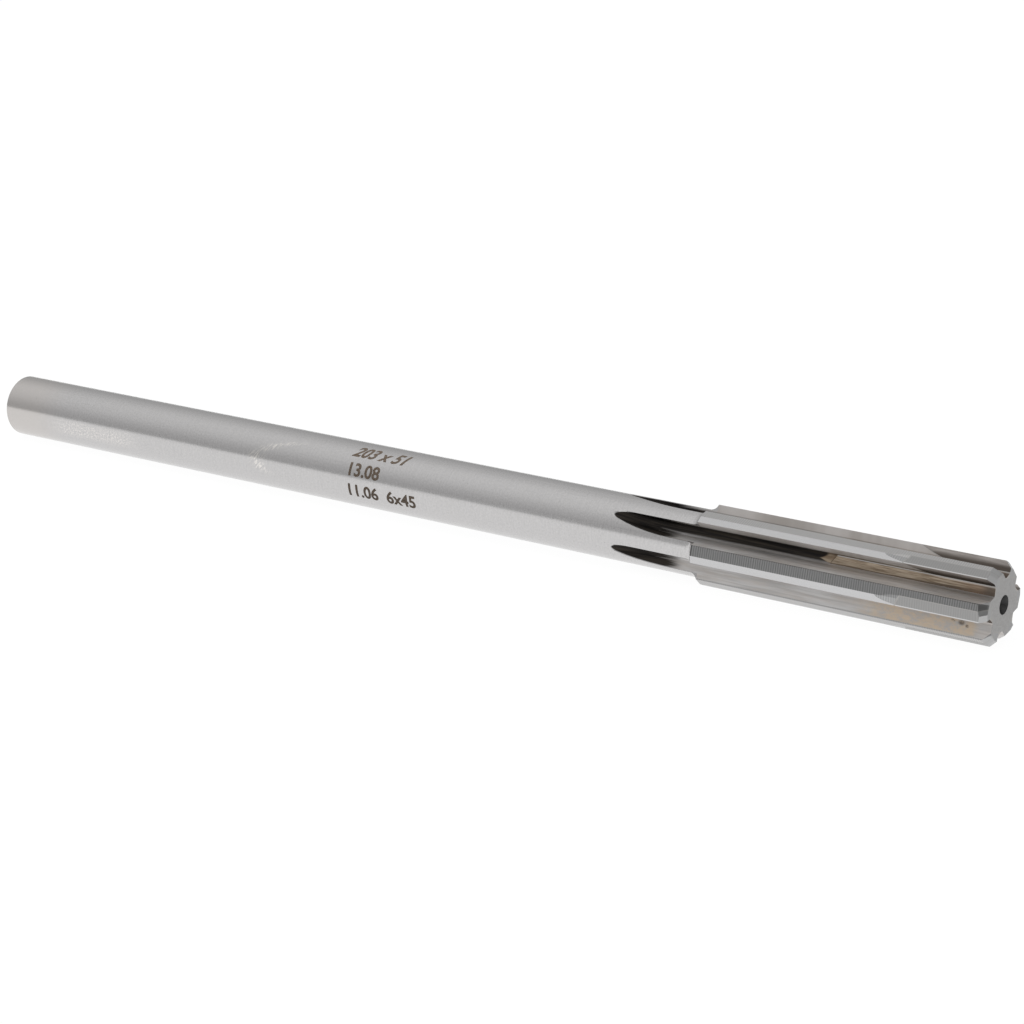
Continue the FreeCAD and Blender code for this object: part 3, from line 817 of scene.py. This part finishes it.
def marking_row(name, text, cap_height, slant, start, angle):
    """A row of figures along the shank, its middle at an angle above the near side."""
    mesh = flat_figures(name, text, slant)
    form = bmesh.new()
    form.from_mesh(mesh)
    tall = max(vertex.co.y for vertex in form.verts)
    scale = cap_height / tall
    bmesh.ops.scale(form, vec=(scale, scale, 1), verts=form.verts)
    bmesh.ops.remove_doubles(form, verts=form.verts, dist=0.001)
    for step in range(1, round(cap_height / BAND)):
        everything = form.verts[:] + form.edges[:] + form.faces[:]
        bmesh.ops.bisect_plane(form, geom=everything, plane_co=(0, step * BAND, 0), plane_no=(0, 1, 0))
    near_side = math.radians(180 - angle)
    for vertex in form.verts:
        around = near_side - (vertex.co.y - cap_height / 2) / SHANK_R
        out = SHANK_R + MARK_LIFT + vertex.co.z
        vertex.co = Vector((start + vertex.co.x, out * math.cos(around), out * math.sin(around))) * MM
    bmesh.ops.recalc_face_normals(form, faces=form.faces)
    form.to_mesh(mesh)
    form.free()
    mesh.materials.clear()
    piece = bpy.data.objects.new(name, mesh)
    scene.collection.objects.link(piece)
    print(name, "runs from", round(min(v.co.x for v in mesh.vertices) / MM, 1), "to",
          round(max(v.co.x for v in mesh.vertices) / MM, 1), "mm")
    return piece


print("bands", BAND, "mm wide, lifted", MARK_LIFT, "mm")

# %% [markdown]
# ### The burnt strokes
#
# A burnt stroke is dark brown and uneven, and duller than the steel round it. A flat colour looks
# like ink, so a fine speckle moves between two browns. The rows ride with the body, because they
# are part of its surface.

# %% The burnt strokes and the three rows
burnt, ut, burnt_shader, where_u = new_material("burnt_marks")
speckle_spot = ut.vector(where_u["Along"], ut.sum("MULTIPLY", where_u["Turn"], 0.1), 0.0)
speckle = ut.fade(ut.noise(speckle_spot, 6.0, 3.0), 0.35, 0.65)
burnt_colour = ut.blend(speckle, (0.07, 0.048, 0.032, 1), (0.24, 0.185, 0.14, 1))
ut.feed(burnt_shader.inputs["Base Color"], burnt_colour)
burnt_shader.inputs["Metallic"].default_value = 0.3
burnt_shader.inputs["Roughness"].default_value = 0.6

FIGURE_HEIGHT = 2.3
MARKS_START = 82.2
ROWS = [
    ("marks_length", f"{LENGTH:.0f} x {LENGTH - HEAD_START:.0f}", 0.45, 63.0),
    ("marks_diameter", f"{2 * HEAD_R:.2f}", 0.0, 26.5),
    ("marks_shank", f"{2 * SHANK_R:.2f}  {TEETH}x45", 0.0, -12.0),
]
for name, text, slant, angle in ROWS:
    row = marking_row(name, text, FIGURE_HEIGHT, slant, MARKS_START, angle)
    row.data.materials.append(burnt)
    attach(row, "root")
print("rows of marks:", len(ROWS))

# %% [markdown]
# ## The table
#
# Bright metal shows its surroundings, so they matter as much as the material. The lower half of
# the shank reflects a white table. It could be a lit white plane, but then its brightness would
# change with every lamp. This one glows evenly to the camera and in reflections, and a little
# paint under the glow still shows the tool's shadow.

# %% The table, laid where the head and the shank's end touch it
head_low = min(vertex.co.z for vertex in nodes["reamer_body"].data.vertices)
lean = math.atan2(head_low + SHANK_R * MM, HEAD_START * MM)
FLOOR_HALF = 6.0
table_form = bmesh.new()
bmesh.ops.create_grid(table_form, x_segments=1, y_segments=1, size=FLOOR_HALF)
leaning = Matrix.Rotation(-lean, 3, "Y")
bmesh.ops.rotate(table_form, cent=(0, 0, 0), matrix=leaning, verts=table_form.verts)
bmesh.ops.translate(table_form, vec=(0, 0, -SHANK_R * MM), verts=table_form.verts)
table_mesh = bpy.data.meshes.new("table")
table_form.to_mesh(table_mesh)
table_form.free()
table = bpy.data.objects.new("table", table_mesh)
scene.collection.objects.link(table)
print("table leans", round(math.degrees(lean), 3), "degrees")

# %% The table's white
TABLE_PAINT = 0.06
TABLE_LIFT = 0.965
white = bpy.data.materials.new("white_table")
white.use_nodes = True
wt = Tree(white.node_tree)
white.node_tree.nodes.remove(white.node_tree.nodes["Principled BSDF"])
path = wt.add("ShaderNodeLightPath")
looked_at = wt.sum("MAXIMUM", path.outputs["Is Camera Ray"], path.outputs["Is Glossy Ray"])
seen = wt.sum("MAXIMUM", looked_at, path.outputs["Is Transmission Ray"])
paint = wt.add("ShaderNodeBsdfDiffuse", Color=grey(TABLE_PAINT))
lift = wt.add("ShaderNodeEmission", Color=grey(1.0), Strength=wt.sum("MULTIPLY", seen, TABLE_LIFT))
both = wt.add("ShaderNodeAddShader")
wt.tree.links.new(paint.outputs[0], both.inputs[0])
wt.tree.links.new(lift.outputs[0], both.inputs[1])
wt.tree.links.new(both.outputs[0], white.node_tree.nodes["Material Output"].inputs["Surface"])
table_mesh.materials.append(white)
print("material:", white.name)

# %% [markdown]
# ## The room
#
# The upper half of the shank reflects a pale room, brighter overhead, darker on the cutting side
# and a little darker at the back. A real room could be modelled, but only its brightness by
# direction shows in the metal, so the world's colour is enough. The levels were found by trial.

# %% The room
SIDE_LEVEL = 0.06
SIDE_SHARE = 0.9
BACK_SHARE = 0.16
world = bpy.data.worlds.new("room")
scene.world = world
world.use_nodes = True
rt = Tree(world.node_tree)
direction = rt.add("ShaderNodeSeparateXYZ", Vector=rt.add("ShaderNodeTexCoord").outputs["Generated"])
height = rt.add("ShaderNodeValToRGB", Fac=direction.outputs["Z"])
ramp = height.color_ramp
STEPS = [
    (0.0, 0.50), (0.13, 0.51), (0.30, 0.57), (0.46, 0.66), (0.60, 0.74), (0.84, 0.86), (1.0, 0.90),
]
ramp.elements[0].position, ramp.elements[0].color = STEPS[0][0], grey(STEPS[0][1])
ramp.elements[1].position, ramp.elements[1].color = STEPS[-1][0], grey(STEPS[-1][1])
for position, level in STEPS[1:-1]:
    ramp.elements.new(position).color = grey(level)
cutting_side = rt.both(rt.fade(direction.outputs["X"], 0.0, 0.4),
                       rt.fade(direction.outputs["Z"], 0.25, 0.6, 1.0, 0.0))
side_dark = rt.sum("MULTIPLY", cutting_side, SIDE_SHARE)
room = rt.blend(side_dark, height.outputs["Color"], grey(SIDE_LEVEL))
back_wall = rt.fade(direction.outputs["Y"], 0.0, 0.65, 0.0, BACK_SHARE)
room = rt.blend(back_wall, room, grey(0.0))
rt.feed(world.node_tree.nodes["Background"].inputs["Color"], room)
print("room levels:", STEPS)

# %% [markdown]
# ## The lamp
#
# A broad lamp above the table adds the soft shadow under the tool. A small lamp would make a hard
# one. The lamp stays out of reflections, because it would show as a glaring patch on the shank.

# %% A broad lamp over the table
LAMP_WIDTH = 1.2
LAMP_DEPTH = 0.9
LAMP_POWER = 6.0
LAMP_FROM_MIDDLE = Vector((-0.3, -0.2, 1.2))
middle = Vector((LENGTH / 2 * MM, 0, 0))
lamp_data = bpy.data.lights.new("softbox", "AREA")
lamp_data.shape = "RECTANGLE"
lamp_data.size = LAMP_WIDTH
lamp_data.size_y = LAMP_DEPTH
lamp_data.energy = LAMP_POWER
lamp = bpy.data.objects.new("softbox", lamp_data)
lamp.location = middle + LAMP_FROM_MIDDLE
lamp.rotation_euler = (middle - lamp.location).to_track_quat("-Z", "Y").to_euler()
lamp.visible_glossy = False
scene.collection.objects.link(lamp)
print("lamp", [round(value, 3) for value in lamp.location])

# %% [markdown]
# ## The camera
#
# The tool is long and thin, so it is looked at from beyond its cutting end, a little from above.
# The head comes out large and the shank runs away from the eye. A long lens keeps the shank from
# narrowing too fast. The camera could track a target, but a line of sight with a slight tilt of
# the head says exactly where it looks.

# %% The camera
SENSOR_WIDTH = 36.0
FOCAL_LENGTH = 94.46
CAMERA_PLACE = Vector((362.74, -347.18, 137.97))
SIGHT = Vector((-0.55453, 0.77228, -0.30998))
HEAD_TILT = math.radians(0.866)
camera_data = bpy.data.cameras.new("camera")
camera_data.sensor_width = SENSOR_WIDTH
camera_data.lens = FOCAL_LENGTH
camera_data.clip_start = 0.01
camera = bpy.data.objects.new("camera", camera_data)
scene.collection.objects.link(camera)
scene.camera = camera
camera.location = CAMERA_PLACE * MM
camera.rotation_mode = "QUATERNION"
camera.rotation_quaternion = Quaternion(SIGHT, HEAD_TILT) @ SIGHT.to_track_quat("-Z", "Y")
scene.view_settings.view_transform = "Standard"
print("camera", [round(value, 4) for value in camera.location])

# %% [markdown] The box round the packed solids and the box round everything that rides on them
# should agree, because the finish adds only strokes a hundredth of a millimetre thick.
